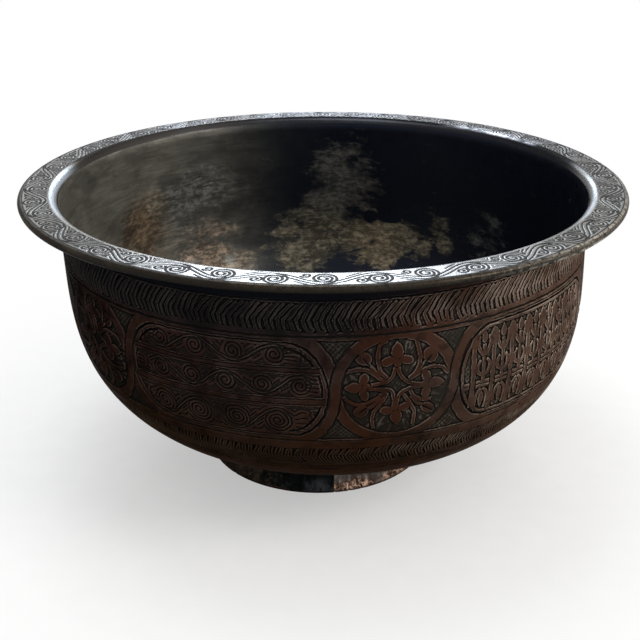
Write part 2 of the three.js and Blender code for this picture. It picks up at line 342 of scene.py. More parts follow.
def skin_tree():
    """Lays a fine net of faces over the section, turned about the axis, and works a flat drawing into it.
    The drawing lies with X along the way round and Y along the section; its cut faces are grooves,
    the others stand at full height, and the ground between them is sunk."""
    sizes = ("From", "To", "Start", "End", "Flat radius", "Depth", "Bevel", "Groove depth", "Groove bevel",
             "Hatch depth", "Hatch spacing", "Middle reach", "Lean from", "Lean", "Dent", "Axis X", "Seed",
             "Waver", "Follow depth", "Follow all", "Follow pitch", "Follow behind", "Scroll side",
             "Scroll swing", "Scroll height", "Plain from")
    tree, given = new_tree("worked sheet", {
        "Drawing": "Geometry", "Section": "Object", "Middles": "Object", "Finish": "Material",
        "Steps round": "Int", "Steps along": "Int", **dict.fromkeys(sizes, "Float")})

    # Where each point of the net lies in the drawing, a little off as a hand puts it
    net = add(tree, "GeometryNodeMeshGrid", {
        "Size X": 1.0, "Size Y": 1.0,
        "Vertices X": given["Steps round"] + 1.0, "Vertices Y": given["Steps along"] + 1.0})
    u, v, _ = Signal(tree, add(tree, "GeometryNodeInputPosition").outputs[0]).parts()
    turn = given["From"] + (u + 0.5) * (given["To"] - given["From"])
    run = given["Start"] + (v + 0.5) * (given["End"] - given["Start"])
    straight = joined(tree, turn * given["Flat radius"], run)
    shaky = {"Vector": straight, "Scale": 240.0, "Detail": 1.5}
    by_hand = straight.node("ShaderNodeTexNoise", shaky, "Color").vector("SUBTRACT", (0.5, 0.5, 0.5)).parts()
    flat = straight.vector("ADD", joined(tree, by_hand[0] * given["Waver"], by_hand[1] * given["Waver"]))

    # How far it is from what stands up, and from what is cut
    is_cut = add(tree, "GeometryNodeInputNamedAttribute", {"Name": "cut"}, data_type="BOOLEAN")
    split = add(tree, "GeometryNodeSeparateGeometry", {0: given["Drawing"], 1: is_cut.outputs[0]},
                domain="FACE")

    def near(faces, if_none):
        found = add(tree, "GeometryNodeProximity", {0: faces, "Source Position": flat},
                    target_element="FACES").outputs
        return flat.node("GeometryNodeSwitch", {0: found["Is Valid"], 1: if_none, 2: found["Distance"]},
                         input_type="FLOAT")

    away = near(split.outputs[1], 0.0)
    raised = away.ramp(0.0, given["Bevel"], 1.0, 0.0)
    from_cut = near(split.outputs[0], 1.0)
    worked = run.ramp(given["Plain from"], given["Plain from"] + 0.0004, 1.0, 0.0)
    groove = from_cut.ramp(0.0, given["Groove bevel"], 1.0, 0.0) * worked

    # The nearest roundel's middle, which the hatching and the fine lines go by
    middles = add(tree, "GeometryNodeObjectInfo", {0: given["Middles"]}, transform_space="ORIGINAL")
    nearest = add(tree, "GeometryNodeProximity", {0: middles.outputs["Geometry"], "Source Position": flat},
                  target_element="POINTS").outputs
    to_middle = Signal(tree, nearest["Distance"])
    side_x, side_y, _ = flat.vector("SUBTRACT", nearest["Position"]).parts()
    follow = lines_beside_cuts(given, turn, from_cut, worked, side_x, side_y)
    hatch = hatched_ground(given, flat, to_middle, side_x, side_y) * away.ramp(0.0003, 0.0012)

    height = ((raised - 1.0) * given["Depth"] + hatch * given["Hatch depth"]
              - raised * (groove * given["Groove depth"] + follow * given["Follow depth"]))
    scored = follow * given["Follow depth"].math("GREATER_THAN", 0.0)
    marks = groove.math("MAXIMUM", scored * 0.85)
    relief = raised * (1.0 - marks * 0.85)
    brink = raised * (1.0 - marks * 0.5)
    soft = brink.node("GeometryNodeBlurAttribute", {0: brink, "Iterations": 3}, data_type="FLOAT")
    final = place_on_sheet(given, turn, run, height)

    made = Signal(tree, net.outputs["Mesh"])
    for name, value, kind, domain in (
            ("OFBake", net.outputs["UV Map"], "FLOAT2", "CORNER"), ("relief", relief, "FLOAT", "POINT"),
            ("hatch", hatch, "FLOAT", "POINT"), ("edge", brink - soft, "FLOAT", "POINT")):
        made = made.node("GeometryNodeStoreNamedAttribute", {0: made, "Name": name, "Value": value},
                         data_type=kind, domain=domain)
    made = made.node("GeometryNodeSetPosition", {"Geometry": made, "Position": final})
    made = made.node("GeometryNodeMergeByDistance", {"Geometry": made, "Distance": 0.000002})
    return end_tree(made.node("GeometryNodeSetShadeSmooth", {0: made}), given["Finish"])


def made_plain(name, maker, tree, values):
    """Runs a tree on a drawing and keeps the result as a plain mesh of its own."""
    holder = put_in(name + " drawing", maker)
    modifier = holder.modifiers.new("work", "NODES")
    modifier.node_group = tree
    sockets = {item.name: item.identifier for item in tree.interface.items_tree if item.in_out == "INPUT"}
    for key, value in values.items():
        modifier[sockets[key]] = value
    bpy.context.view_layer.update()
    settled = holder.evaluated_get(bpy.context.evaluated_depsgraph_get())
    mesh = bpy.data.meshes.new_from_object(settled)
    mesh.name = name
    holder.modifiers.remove(modifier)
    bpy.data.objects.remove(holder)
    return mesh


section_points, station = bowl_section()
bowl_line = section_curve("bowl section", section_points)
worked_sheet = skin_tree()
fine_step = 0.00047
coarse = 1
whole_turn = math.tau


def aside_of(line):
    """The direction square to a line at each of its points."""
    way = np.gradient(line, axis=0)
    way /= np.maximum(np.linalg.norm(way, axis=1), 1e-9)[:, None]
    return np.column_stack([-way[:, 1], way[:, 0]])


def drawing_mesh(name, points, faces, cuts):
    """A flat drawing as a mesh, each face marked as cut or standing."""
    made = bpy.data.meshes.new(name)
    made.from_pydata(points, [], faces)
    made.attributes.new("cut", "BOOLEAN", "FACE").data.foreach_set("value", cuts)
    return made


class Drawing:
    """Flat shapes in millimetres: x along the way round, y upwards."""

    def __init__(self):
        self.points, self.faces, self.cuts = [], [], []

    def shape(self, outline, cut=False):
        first = len(self.points)
        self.points.extend((float(x), float(y)) for x, y in outline)
        self.faces.append(tuple(range(first, first + len(outline))))
        self.cuts.append(cut)

    def ribbon(self, line, wide, cut=False, taper=None):
        line = np.asarray(line, float)
        half = np.full(len(line), wide / 2)
        if taper is not None:
            half *= np.interp(np.linspace(0, 1, len(line)), np.linspace(0, 1, len(taper)), taper)
        off = aside_of(line) * half[:, None]
        first = len(self.points)
        for a, b in zip(line + off, line - off):
            self.points += [tuple(a), tuple(b)]
        for i in range(len(line) - 1):
            k = first + 2 * i
            self.faces.append((k, k + 1, k + 3, k + 2))
            self.cuts.append(cut)

    def mesh(self, name):
        return drawing_mesh(name, [(x / 1000, y / 1000, 0) for x, y in self.points], self.faces, self.cuts)


def flowing(points, steps=7):
    """A smooth line through points."""
    p = np.asarray(points, float)
    ends = np.vstack([2 * p[0] - p[1], p, 2 * p[-1] - p[-2]])
    t = np.linspace(0, 1, steps, endpoint=False)[:, None]
    runs = []
    for a, b, c, d in zip(ends, ends[1:], ends[2:], ends[3:]):
        runs.append(0.5 * (2 * b + (c - a) * t + (2 * a - 5 * b + 4 * c - d) * t ** 2
                           + (3 * b - a - 3 * c + d) * t ** 3))
    return np.vstack([*runs, p[-1:]])


def oval(centre, half_wide, half_tall, lean=0.0, steps=18):
    t = np.linspace(0, math.tau, steps, endpoint=False)
    x, y = half_wide * np.cos(t), half_tall * np.sin(t)
    c, s = math.cos(math.radians(lean)), math.sin(math.radians(lean))
    return np.column_stack([centre[0] + c * x - s * y, centre[1] + s * x + c * y])


def pointed_leaf(base, tip, wide, steps=9):
    """A leaf or bud, blunt at its base and pointed at its tip."""
    base, tip = np.asarray(base, float), np.asarray(tip, float)
    along = tip - base
    aside = np.array([-along[1], along[0]])
    aside /= np.linalg.norm(aside)
    t = np.linspace(0, 1, steps)
    swell = aside * (np.sin(math.pi * t ** 0.8) ** 0.75 * wide / 2)[:, None]
    middle = base + along * t[:, None]
    return np.vstack([middle + swell, (middle - swell)[-2:0:-1]])


def spiral(centre, first_radius, spacing, turns, start, hand, steps=22):
    t = np.linspace(0, turns, int(turns * steps) + 1)
    turn = math.radians(start) + hand * t * math.tau
    radius = np.maximum(first_radius - spacing * t, 0.35)
    return np.column_stack([centre[0] + radius * np.cos(turn), centre[1] + radius * np.sin(turn)])


def running_scroll(drawing, start, end, middle, high, pitch, first):
    """A stem of two lines waves along a band, with a spiral in each bend and short strokes beside it."""
    line, spacing, double = 0.6, 2.15, 1.7
    count = max(1, round((end - start) / pitch))
    pitch = (end - start) / count
    reach = min(high / 2 - line * 0.55, pitch * 0.46)
    turns = max((reach - 0.9) / spacing - 0.15, 0.6)
    swing = high / 2 - line * 0.5 - double / 2
    for i in range(count):
        side = first if i % 2 == 0 else -first
        x = start + (i + 0.5) * pitch
        curl = spiral((x, middle), reach - 0.1 * spacing, spacing, turns, -62 * side, side)
        drawing.ribbon(curl, line, True)
        for way in ((1, -1) if i + 1 < count else ()):
            about = x if way > 0 else x + pitch
            for k in range(2):
                along = np.linspace(0.44 + 0.08 * k, 0.64 + 0.08 * k, 6)
                stroke = np.column_stack([about + way * (along * pitch - 1.0 - 1.9 * (k + 1)),
                                          middle - way * side * swing * np.cos(math.pi * along)])
                drawing.ribbon(stroke, line * 0.9, True, [0.6, 1, 0.6])
    share = np.linspace(0.12, count - 0.12, 16 * count)
    waves = first * swing * np.cos(math.pi * (share - 0.5))
    stem = np.column_stack([start + share * pitch, middle - waves])
    for off in (double / 2, -double / 2):
        drawing.ribbon(stem + aside_of(stem) * off, line, True)


# Stations down the wall, in millimetres from the top of the flange
braid_top, braid_end = 18.1, 35.1
frieze_top, frieze_end = 39.4, 101.9
lower_braid_top, lower_braid_end = 109.8, 125.2
foot_rule_end = 132.0
frieze_middle = 69.8
half_high = 32.7
millimetre_round = wall_radius * 1000
straight_top = station["upright"] * 1000 + (shoulder_depth * 1000)


def down(tape):
    """Height in the drawing of a distance down the wall."""
    return straight_top - tape


def wander(x):
    """The bands were laid out by eye, and run a little high on one side of the bowl."""
    return 0.0012 * math.sin(x / wall_radius)


strap_wide = 6.2
strap_swing = 33.2
corner_swing = 24.0
roundels_at = [math.radians(a) * millimetre_round for a in (-53.2, 12.85, 81.6, 156.4, 231.4)]
ring_turn = math.tau * millimetre_round
roundel_middle = 67.3
panel_top, panel_end = 14.2, 134.2
past_panel_top, past_panel_end = 8.0, 146.0
upper_rule = 37.2

wall = Drawing()
left_end = roundels_at[0] - strap_swing
right_end = left_end + ring_turn


def long_band(tape_from, tape_to, cut=False):
    edge = np.linspace(left_end - 30, right_end + 30, 360)
    level = down((tape_from + tape_to) / 2)
    wall.ribbon(np.column_stack([edge, np.full(len(edge), level)]), tape_to - tape_from, cut)


for tape_from, tape_to in ((past_panel_top, braid_top), (braid_end, frieze_top),
                           (frieze_end, lower_braid_top), (lower_braid_end, past_panel_end)):
    long_band(tape_from, tape_to)
for tape, wide in ((braid_top - 0.9, 0.5), (upper_rule, 1.0), (frieze_end + 1.0, 0.4),
                   (lower_braid_end + 0.9, 0.5), (foot_rule_end - 0.8, 0.6)):
    long_band(tape - wide / 2, tape + wide / 2, cut=True)


def quarter(joint, swing, side, up):
    """A strap's bend from the joint between two fields to the rule above or below it."""
    t = np.linspace(0, math.pi / 2, 24)
    across = joint + side * swing * (1 - np.cos(t))
    return np.column_stack([across, down(frieze_middle) + up * half_high * np.sin(t)])


def strap_joint(joint, left_swing, right_swing):
    over = np.vstack([quarter(joint, left_swing, -1, -1)[::-1], quarter(joint, right_swing, 1, 1)[1:]])
    for swing, side, up in ((left_swing, -1, 1), (right_swing, 1, -1)):
        wall.ribbon(quarter(joint, swing, side, up), strap_wide)
    wall.ribbon(over, strap_wide)
    for edge in (-strap_wide / 2, strap_wide / 2):
        wall.ribbon((over + aside_of(over) * edge)[11:-11], 0.8, cut=True)


def turned(points, middle, degrees, size=1.0):
    c, s = math.cos(math.radians(degrees)) * size, math.sin(math.radians(degrees)) * size
    p = np.asarray(points, float)
    return np.column_stack([middle[0] + c * p[:, 0] - s * p[:, 1], middle[1] + s * p[:, 0] + c * p[:, 1]])


roundel_strokes = [
    (2.1, [(0.9, 10.5), (1.6, 6.3), (4.4, 2.5), (9.3, -0.4), (14, -1.6)]),
    (2.1, [(-0.9, 10.5), (-1.6, 7.6), (-3.2, 4.4), (-7, 2.0), (-14, 1.2)]),
    (2.1, [(-15.5, -1.2), (-9.5, -1.9), (-3.9, -2.7), (-2.2, -6), (-1.5, -11.5)]),
    (2.1, [(14, -2.4), (7.5, -2.7), (3.0, -4.4), (0.8, -7.2), (0, -12)]),
    (2.2, [(6.3, 26.9), (10.3, 25.4), (11.9, 20.2), (12.8, 15.9), (12.1, 10.2), (9.8, 5.9), (7.0, 3.6)]),
    (2.1, [(-5.2, 26.6), (-8.7, 24.2), (-10.2, 19.4), (-10.2, 14), (-8.7, 8.6), (-5.6, 4.8)]),
    (2.2, [(29.4, 2.6), (25.9, 6.5), (20.5, 8.1), (15.2, 7.2), (10.5, 4.7), (7.0, 2.8)]),
    (2.2, [(-28.3, 9.2), (-24.8, 10.4), (-18.7, 10.7), (-14, 8.9), (-11, 5.9), (-7.2, 3.2)]),
    (2.1, [(7.2, -3.4), (9.2, -7.6), (13.4, -10.9), (19.8, -11.6)]),
    (2.0, [(-29, -4.8), (-26, -8.6), (-20.5, -10.6), (-13.5, -8.8), (-8.8, -5.2), (-5.8, -3.4)]),
    (2.1, [(3.4, -5.6), (6.4, -10.6), (9.2, -15.4), (10.4, -20.6), (9.8, -27)]),
    (2.1, [(-5.4, -4.4), (-8.9, -10.9), (-12.4, -15.8), (-13.6, -21.4), (-12.6, -27.2)]),
    (1.6, [(10.5, 6.0), (13.4, 9.4), (16.5, 12.8)]),
    (1.9, [(-9.5, 6.4), (-12.8, 10.8), (-15.8, 14.2)]),
    (1.9, [(7.8, -8.2), (11.5, -12.6), (15.4, -15.2)]),
    (1.9, [(-8.4, -7.2), (-12.6, -11.2), (-16.6, -13.4)])]
roundel_leaves = [((18.9, 15.6), 4.3, 4.7, 10), ((-17.8, 16.8), 4.2, 3.7, -20),
                  ((18.0, -17.2), 4.6, 3.0, -38), ((-19.6, -15.0), 4.3, 3.6, 35)]
roundel_veins = [(1.0, [(15.6, 10.9), (19.4, 14.9)]), (0.8, [(-14.6, 12.4), (-18.2, 17.0)]),
                 (0.8, [(15.2, -15.6), (20.6, -19.4)]), (0.8, [(-16.4, -12.6), (-20.6, -16.2)])]
roundel_flowers = [((0.2, 11.8), 0, 1.0), ((13.9, -1.9), -90, 0.98), ((-15.4, 0.2), 90, 0.95),
                   ((-1.0, -12.4), 187, 1.0)]


def roundel(x, hand):
    """Four three-lobed flowers on crossing stems, with a leaf between each pair; no two are quite alike."""
    middle = (x, down(roundel_middle))
    quarters = (hand - 1) % 4 * 90
    uneven = np.random.default_rng(hand)

    def placed(points):
        return turned(points, middle, quarters, 1.0)

    for wide, points in roundel_strokes:
        moved = np.asarray(points) + uneven.normal(0, 0.25 if hand > 1 else 0, (len(points), 2))
        wall.ribbon(placed(flowing(moved)), wide - 0.25)
    for centre, half_wide, half_tall, lean in roundel_leaves:
        wall.shape(placed(oval(centre, half_wide, half_tall, lean)))
    for wide, points in roundel_veins:
        wall.ribbon(placed(flowing(points)), wide, True, [1, 1, 0.3])
    for place, turn, size in roundel_flowers:
        for outline in (pointed_leaf((0, 3.6), (0, 13.6), 6.4), oval((-5.0, 2.6), 3.8, 2.6, 18),
                        oval((5.0, 2.6), 3.8, 2.6, -18), oval((0, 1.3), 2.0, 2.3)):
            wall.shape(placed(turned(outline, place, turn, size)))


def end_swings(inset):
    """The round end of a line inside a long cartouche: how far it swings in, and how high."""
    return corner_swing - inset * 0.55, half_high - inset


def inner_border(left, right, inset, wide):
    """A line that follows the inside of a long cartouche."""
    swing, high = end_swings(inset)
    t = np.linspace(0, math.pi / 2, 20)
    to_right, to_left = right - inset - swing * (1 - np.cos(t)), left + inset + swing * (1 - np.cos(t))
    up = high * np.sin(t)
    loop = np.column_stack([np.concatenate([to_right, to_left[::-1], to_left[1:], to_right[::-1]]),
                            down(frieze_middle) + np.concatenate([up, up[::-1], -up[1:], -up[::-1]])])
    wall.ribbon(np.vstack([loop, loop[:2]]), wide)


def long_straps(left, right):
    """The straps run on along the top and bottom of a long cartouche, from one corner to the other."""
    for up in (-1, 1):
        level = down(frieze_middle) + up * half_high
        wall.ribbon([(left + corner_swing - 1, level), (right - corner_swing + 1, level)], strap_wide)
        groove = level - up * 2.3
        wall.ribbon([(left + corner_swing + 2, groove), (right - corner_swing - 2, groove)], 0.4, cut=True)


def end_reach(inset, height):
    """How far a long cartouche's round end has come in at a height above or below its middle."""
    swing, high = end_swings(inset)
    share = min(abs(height) / high, 0.999)
    return inset + swing * (1 - math.sqrt(1 - share ** 2))


def scroll_cartouche(left, right, first):
    """Three rows of running scroll, cut into raised bands, between smooth rules."""
    inner_border(left, right, 5.2, 1.9)
    long_straps(left, right)
    for tape_from, tape_to in ((54.4, 58.7), (72.8, 78.2)):
        tape = (tape_from + tape_to) / 2
        inset = end_reach(5.0, frieze_middle - tape)
        along = (left + inset, (left + right) / 2, right - inset)
        for level, wide, cut in ((tape, tape_to - tape_from, False), (tape_from + 0.9, 0.3, True),
                                 (tape_to - 0.9, 0.3, True)):
            wall.ribbon([(x, down(level)) for x in along], wide, cut)
    for tape_from, tape_to, pitch, near_left, near_right, side in (
            (41.3, 54.0, 22.5, 15.6, 20.2, first), (59.1, 72.4, 20.5, 15.3, 8.2, -first),
            (78.6, 98.4, 23.4, 12.0, 20.2, first)):
        middle = (tape_from + tape_to) / 2
        high = tape_to - tape_from
        outline = []
        for end, way in ((left, 1), (right, -1)):
            outline.extend((end + way * end_reach(7.6, frieze_middle - tape), down(tape))
                           for tape in np.linspace(tape_from + 0.3, tape_to - 0.3, 9)[::way])
        wall.shape(outline)
        inset = end_reach(8.0, frieze_middle - middle)
        running_scroll(wall, left + near_left, right - near_right, down(middle), min(high - 0.2, 17.6),
                       pitch, side)
        for end, way, reach, rows in ((right - inset, -1, 7.0, 4), (left + inset, 1, 5.0, 3)):
            for k in range(rows):
                off = (k - (rows - 1) / 2) * high * 0.19
                stroke = [(reach, off * 0.7), (reach / 2, off + 0.3), (abs(off) * 0.2, off)]
                wall.ribbon(flowing([(end + way * x, down(middle) + y) for x, y in stroke], 3), 0.5, True)


def strap_cartouche(left, right):
    """Upright straps with leaf tips over a double band, and a stem with paired curls between each two."""
    inner_border(left, right, 5.4, 1.4)
    long_straps(left, right)
    band_tape, clear, end_room, count = 77.0, 7.0, 12.5, 8
    inset = end_reach(6.0, frieze_middle - band_tape)
    level, band = down(frieze_middle), down(band_tape)
    for off in (1.35, -1.35):
        wall.ribbon([(left + inset, band + off), (right - inset, band + off)], 1.6)
    for half_step in range(2 * count + 1):
        x = left + end_room + half_step * (right - left - 2 * end_room) / (2 * count)
        come_in = max(corner_swing - min(x - left, right - x), 0) / corner_swing
        high = half_high * math.sqrt(max(1 - come_in ** 2, 0.1)) - clear
        crown = level + high
        if half_step % 2 == 0:
            wall.ribbon([(x, level - high), (x, crown - 5)], 2.9)
            wall.shape(pointed_leaf((x, crown - 6.5), (x, crown + 0.5), 4.8))
            for edge in (-1.75, 1.75):
                wall.ribbon([(x + edge, band - 3.2), (x + edge, band + 3.2)], 0.6, cut=True)
            continue
        wall.ribbon([(x, band + 2), (x, crown - 8)], 1.9)
        wall.shape(pointed_leaf((x, crown - 7.5), (x, crown + 0.3), 3.6))
        wall.shape(pointed_leaf((x, band - 5.0), (x, band - 15.5), 3.4))
        for side in (-1, 1):
            for foot_y, curl in ((crown, [(0, -15.5), (2.6, -12), (4.1, -7.6), (3.5, -3.2)]),
                                 (band, [(0, 5.0), (3.4, 7.6), (4.0, 11.6), (2.2, 14.8)]),
                                 (band, [(0.6, -3.4), (3.4, -6.6), (4.2, -12.0), (3.2, -17.5)])):
                line = flowing([(x + side * out, foot_y + up) for out, up in curl])
                wall.ribbon(line, 1.9, taper=[0.8, 1, 1, 0.6])


fields = []
for i, x in enumerate(roundels_at):
    after = roundels_at[i + 1] if i < 4 else roundels_at[0] + ring_turn
    strap_joint(x - strap_swing, corner_swing, strap_swing)
    strap_joint(x + strap_swing, strap_swing, corner_swing)
    roundel(x, i)
    if i % 2 == 0 and i < 4:
        scroll_cartouche(x + strap_swing, after - strap_swing, 1)
    else:
        strap_cartouche(x + strap_swing, after - strap_swing)
    fields.append((f"wall_roundel_{i + 1}", x - strap_swing, x + strap_swing))
    fields.append((f"wall_cartouche_{i + 1}", x + strap_swing, after - strap_swing))
strap_joint(left_end + ring_turn, corner_swing, strap_swing)


def repeat_tree():
    """Sets one drawn unit down again and again along a band, each turned a little by chance."""
    tree, given = new_tree("units along a band", {
        "Unit": "Geometry", "Count": "Int", **dict.fromkeys(("Pitch", "First", "Level", "Uneven"), "Float"),
        "Seed": "Int", "Finish": "Material"})
    line = add(tree, "GeometryNodeMeshLine", {
        "Count": given["Count"], "Start Location": joined(tree, given["First"], given["Level"]),
        "Offset": joined(tree, given["Pitch"])})
    chance = add(tree, "FunctionNodeRandomValue", {"Seed": given["Seed"]}, data_type="FLOAT")
    lowest, highest = [socket for socket in chance.inputs if socket.type == "VALUE" and socket.enabled]
    tree.links.new((given["Uneven"] * -1.0).socket, lowest)
    tree.links.new(given["Uneven"].socket, highest)
    angle = next(socket for socket in chance.outputs if socket.type == "VALUE" and socket.enabled)
    turn = add(tree, "FunctionNodeEulerToRotation", {0: joined(tree, 0.0, 0.0, angle)})
    set_down = add(tree, "GeometryNodeInstanceOnPoints", {
        "Points": line.outputs[0], "Instance": given["Unit"], "Rotation": turn.outputs[0]})
    return end_tree(Signal(tree, set_down.outputs[0]), given["Finish"])


units_along = repeat_tree()


def banded(name, unit, pitch, level, uneven, seed):
    count = round(ring_turn / pitch)
    pitch = ring_turn / count
    extra = 6
    return made_plain(name, unit.mesh(name), units_along, {
        "Count": count + 2 * extra, "Pitch": pitch / 1000, "First": (left_end - extra * pitch) / 1000,
        "Level": level / 1000, "Uneven": uneven, "Seed": seed})


# One strand of the upper braid: two long slanting straps over a steep pair and their turned ends
plait = Drawing()
plait.ribbon(flowing([(-2.4, -1.0), (0.2, 3.0), (2.4, 6.0), (4.9, 8.6)]), 1.5)
plait.ribbon(flowing([(0.7, -1.2), (3.3, 2.8), (5.6, 5.8), (7.7, 8.2)]), 1.25)
plait.ribbon([(-2.5, -0.7), (-1.6, -4.6), (-0.5, -8.2)], 1.6, taper=[1, 1, 1.15])
plait.ribbon([(0.6, -0.9), (1.0, -3.8), (1.9, -6.2)], 1.3)
plait.ribbon([(-0.3, -7.7), (1.2, -7.6), (2.9, -6.6)], 1.1, taper=[1, 1, 0.7])

# The lower braid's strokes, a fine upper row and a longer lower one, each struck by eye
barb_above = Drawing()
barb_above.ribbon(flowing([(-0.6, 0.5), (0.4, 3.6), (1.9, 7.3)]), 0.8, taper=[0.9, 1, 0.7])
barb_below = Drawing()
barb_below.ribbon(flowing([(-1.2, 0.1), (0.2, -3.8), (2.2, -7.5)]), 0.95, taper=[0.9, 1, 0.8])

parts = [wall.mesh("wall drawing"),
         banded("upper braid", plait, 6.4, down(26.8), 0.13, 3),
         banded("lower braid above", barb_above, 1.9, down(117.2), 0.17, 5),
         banded("lower braid below", barb_below, 2.05, down(117.4), 0.10, 6)]


def one_drawing(name, meshes):
    points, faces, cuts = [], [], []
    for mesh in meshes:
        first = len(points)
        points.extend((v.co.x, v.co.y + wander(v.co.x), 0) for v in mesh.vertices)
        faces.extend(tuple(first + k for k in p.vertices) for p in mesh.polygons)
        cuts.extend(mark.value for mark in mesh.attributes["cut"].data)
    return drawing_mesh(name, points, faces, cuts)


wall_drawing = one_drawing("whole wall drawing", parts)

ring_middles = bpy.data.meshes.new("ring middles")
ring_middles.from_pydata([((x + turn) / 1000, down(frieze_middle) / 1000 + wander(x / 1000), 0)
                          for x in roundels_at for turn in (0.0, ring_turn)], [], [])
middles_holder = put_in("ring middles", ring_middles)
middles_holder.hide_render = True


class Finish:
    """A material in the making, and the place on the piece that its patterns start from."""

    def __init__(self, name):
        self.material = bpy.data.materials.new(name)
        self.tree = cleared(self.material)
        self.where = Signal(self.tree, add(self.tree, "ShaderNodeTexCoord").outputs["Object"])
        self.x, self.y, self.z = self.where.parts()

    def attribute(self, name):
        return Signal(self.tree, add(self.tree, "ShaderNodeAttribute", attribute_name=name).outputs["Fac"])

    def stretched(self, upright):
        return self.where.node("ShaderNodeMapping", {"Vector": self.where, "Scale": (1, 1, upright)})

    def coat(self, colour, rough, bumps, strength, depth, even):
        """Puts it all on the shader; the values in even are the same over the whole piece."""
        bump = add(self.tree, "ShaderNodeBump", {"Height": bumps, "Strength": strength, "Distance": depth})
        shader = add(self.tree, "ShaderNodeBsdfPrincipled", {
            "Base Color": colour, "Roughness": rough, "Normal": bump.outputs[0], **even})
        add(self.tree, "ShaderNodeOutputMaterial", {"Surface": shader.outputs[0]})
        return self.material


def outside_finish():
    """Copper gone brown-black outside, rubbed to red-brown on what stands out. Painted shade makes it
    blacker and bluer under the flange on the left, painted light makes it greyer and paler towards the
    right, and its worn edges and hatch ridges carry painted highlights."""
    made = Finish("patinated copper")
    where, x, z = made.where, made.x, made.z
    relief, edge, hatch = (made.attribute(name) for name in ("relief", "edge", "hatch"))
    broad = where.grain(14, 3, 0.55, 0.3)
    middling = where.grain(70, 5, 0.6, 0.4)
    fine = where.grain(420, 4, 0.65)

    def varied(base, noise, amount):
        return base + (noise - 0.5) * amount

    # painted light: the further right, the lighter the brown, the stains and the edge colour, as if lit by
    # the lamp at the right
    painted_light_right = x.ramp(0.02, 0.17)
    low_down = z.ramp(0.125, 0.070)
    ground = mix(middling, (0.0045, 0.0043, 0.0040), (0.0150, 0.0132, 0.0112))
    # painted light: the sunk ground also lightens towards the right
    ground = mix(x.ramp(-0.02, 0.15), ground, (0.030, 0.0255, 0.0205))
    ground = mix(low_down * 0.4, ground, (0.016, 0.0115, 0.0072))
    brown = mix(middling.ramp(0.3, 0.7), (0.0090, 0.0056, 0.0050), (0.0320, 0.0190, 0.0155))
    reddened = broad.ramp(0.42, 0.62) * x.ramp(-0.10, -0.01, 0.25, 1.0)
    brown = mix(reddened * 0.75, brown, (0.0360, 0.0125, 0.0062))
    brown = mix(low_down * 0.6, brown, (0.0300, 0.0160, 0.0082))
    below_rule = mix(fine, (0.0190, 0.0088, 0.0050), (0.0540, 0.0265, 0.0155))
    brown = mix(z.ramp(0.0625, 0.0595), brown, below_rule)
    brown = mix(painted_light_right, brown, mix(middling, (0.046, 0.028, 0.021), (0.155, 0.100, 0.074)))
    stains = where.grain(60, 5, 0.66, 0.9).ramp(0.50, 0.64)
    brown = mix(stains * 0.62, brown, mix(painted_light_right, (0.0085, 0.0060, 0.0060), (0.036, 0.024, 0.019)))
    # painted shade under the flange: the upper band turns blue-black on the left and middle, a little greyer
    # at the far left
    black = mix(middling, (0.0026, 0.0031, 0.0046), (0.0110, 0.0110, 0.0120))
    black = mix(x.ramp(-0.06, -0.15, 0.0, 0.7), black, (0.0180, 0.0185, 0.0200))
    brown = mix(z.ramp(0.146, 0.160) * 0.9 * x.ramp(0.055, 0.0), brown, black)
    colour = mix(varied(relief, fine, 0.5).ramp(0.2, 0.95), ground, brown)
    # painted shadow: the neck in the flange's shadow is coloured near black and bluish, except on the right
    neck = z.ramp(0.1718, 0.1732) * x.ramp(0.13, 0.03)
    colour = mix(neck * 0.85, colour, (0.0030, 0.0038, 0.0058))
    # painted highlight: worn edges take this pale colour, partly real wear and partly painted glints; much
    # brighter towards the right where the light falls, weaker up under the flange
    pale = mix(x.ramp(-0.02, 0.17), (0.066, 0.052, 0.045), (0.50, 0.41, 0.335))
    pale = mix(low_down * 0.75, pale, mix(painted_light_right, (0.044, 0.031, 0.019), (0.19, 0.145, 0.105)))
    rubbed = where.grain(38, 4, 0.6, 0.6).ramp(0.36, 0.60, 0.15, 1.0)
    worn = varied(edge, middling, 0.36).ramp(0.09, 0.28) * rubbed
    colour = mix(worn * z.ramp(0.146, 0.151, 0.72, 0.52), colour, pale)
    # painted highlight on the rubbed ridges of the hatching
    hatch_ridge_glint = varied(varied(hatch, middling, 0.7), fine, 0.8).ramp(0.75, 1.1)
    colour = mix(hatch_ridge_glint * rubbed * 0.5, colour, pale)
    # painted shade: the sunk ground darkens in the crease along the foot of each raised edge
    colour = mix(edge.ramp(-0.03, -0.18) * 0.93, colour, (0.0024, 0.0022, 0.0021))
    spots = where.grain(230, 2, 0.5, 1.2).ramp(0.66, 0.74)
    colour = mix(spots * 0.5, colour, (0.004, 0.0035, 0.003))
    rough = middling.ramp(0.3, 0.7, 0.34, 0.52) - worn * 0.08
    return made.coat(colour, rough, fine * 0.5 + middling, 0.35, 0.0006,
                     {"Metallic": 0.6, "Specular IOR Level": 0.0, "Specular Tint": (0.3, 0.3, 0.3)})


patinated_copper = outside_finish()
common = {
    "Section": bowl_line, "Middles": middles_holder, "Flat radius": wall_radius, "Axis X": 0.0, "Seed": 4.0,
    "Lean from": top_z - lean_start, "Lean": lean_per_depth, "Dent": 0.0002, "Waver": 0.0,
    "Scroll side": (strap_swing + 6.4) / 1000, "Scroll swing": (corner_swing - 3) / 1000,
    "Scroll height": (half_high - 4.2) / 1000, "Follow pitch": 0.0022, "Follow behind": -1.0,
    "Plain from": 10.0}


def sheet_part(name, drawing, values):
    """One length of the bowl's sheet, which rides with the bowl and takes the place of its solid."""
    piece = put_in(name, made_plain(name, drawing, worked_sheet, {**common, **values}))
    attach(piece, "root")
    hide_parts("bowl_body")


